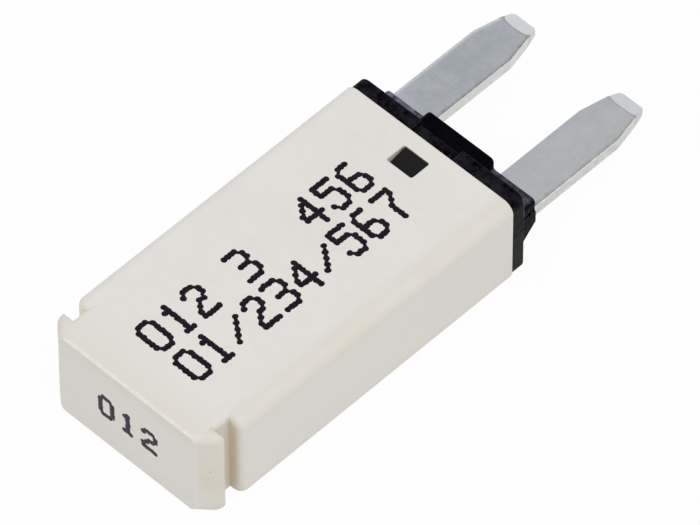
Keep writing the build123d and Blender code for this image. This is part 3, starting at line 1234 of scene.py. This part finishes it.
@dataclass
class Studio:
    """Pale floor, plain surrounding light, soft lamps and the camera."""

    azimuth: float = 44.274
    elevation: float = 51.227
    distance: float = 0.55388
    aim_mm: Point = (1.256, -1.737, 3.953)
    lens: float = 529.16
    sensor: float = 36.0
    floor_size: float = 3.0
    floor_gap_mm: float = 0.02
    floor_colour: Colour = shade(0.80, 0.80, 0.80)
    floor_glow: float = 0.95
    # The sky's strength on matt surfaces, and in mirrored ones by height.
    sky: float = 0.78
    sky_fall: Ramp = (0.15, 0.95, 1.0, 0.33)
    nearest: float = 0.05
    lamps: tuple[Lamp, ...] = (
        Lamp("key", 60.0, 63.0, 0.7, 0.45, 1.6),
        Lamp("fill", -20.0, 35.0, 0.8, 0.6, 0.16),
    )

    def build(self) -> None:
        """Lay the floor, set the light and place the camera."""
        self.lay_floor()
        self.light()
        self.place_camera()

    def lay_floor(self) -> None:
        """A flat floor under the part that looks white and still takes a faint shadow."""
        level = cad_bounds[0][2] - self.floor_gap_mm * MM
        square = np.array([[-1, -1, 0], [1, -1, 0], [1, 1, 0], [-1, 1, 0]]) * self.floor_size / 2
        floor = new_piece("floor", square + [0, 0, level], np.array([[0, 1, 2], [0, 2, 3]]))
        material = bpy.data.materials.new("floor_white")
        material.use_nodes = True
        graph = Graph(material.node_tree)
        matt = graph.add("BsdfDiffuse", {"Color": self.floor_colour}).outputs[0]
        glow = graph.add("Emission", {"Color": WHITE, "Strength": 1.0}).outputs[0]
        path = graph.add("LightPath").outputs
        seen = graph.most(path["Is Camera Ray"], path["Is Glossy Ray"], path["Is Transmission Ray"])
        share = graph.times(seen, self.floor_glow)
        mixed = graph.add("MixShader", {0: share, 1: matt, 2: glow}).outputs[0]
        graph.add("OutputMaterial", {"Surface": mixed})
        floor.data.materials.append(material)

    def light(self) -> None:
        """An even surrounding light, white where it is seen, and the soft lamps."""
        world = bpy.data.worlds.new("studio")
        world.use_nodes = True
        graph = Graph(world.node_tree)
        path = graph.add("LightPath").outputs
        upward = graph.add("SeparateXYZ", {0: graph.add("TexCoord").outputs["Generated"]}).outputs["Z"]
        mirrored = graph.ramp(upward, self.sky_fall, interpolation_type="SMOOTHSTEP")
        choice = {0: path["Is Glossy Ray"], 2: self.sky, 3: mirrored}
        unseen = graph.add("Mix", choice, data_type="FLOAT").outputs[0]
        white = graph.most(path["Is Camera Ray"], path["Is Transmission Ray"])
        strength = graph.add("Mix", {0: white, 2: unseen, 3: 1.0}, data_type="FLOAT").outputs[0]
        around = graph.add("Background", {"Color": WHITE, "Strength": strength})
        graph.add("OutputWorld", {"Surface": around.outputs[0]})
        bpy.context.scene.world = world
        for lamp in self.lamps:
            lamp.build()

    def place_camera(self) -> None:
        """Put the camera at its distance from the aim point, looking straight at it."""
        camera = bpy.data.cameras.new("camera")
        camera.sensor_width = self.sensor
        camera.lens = self.lens
        camera.clip_start = self.nearest
        hang(camera, self.azimuth, self.elevation, self.distance, Vector(self.aim_mm) * MM)
        bpy.context.scene.camera = bpy.data.objects["camera"]


def main() -> None:
    """Build the looks piece by piece and log each part as it is built."""
    logging.basicConfig(level=logging.INFO, format="%(name)s: %(message)s")
    bpy.context.scene.view_settings.view_transform = "Standard"
    for part in (Cap(), Base(), Terminals(), SnapSwitch(), Studio()):
        part.build()
        log.info("%s built", type(part).__name__)


if __name__ == "__main__":
    main()
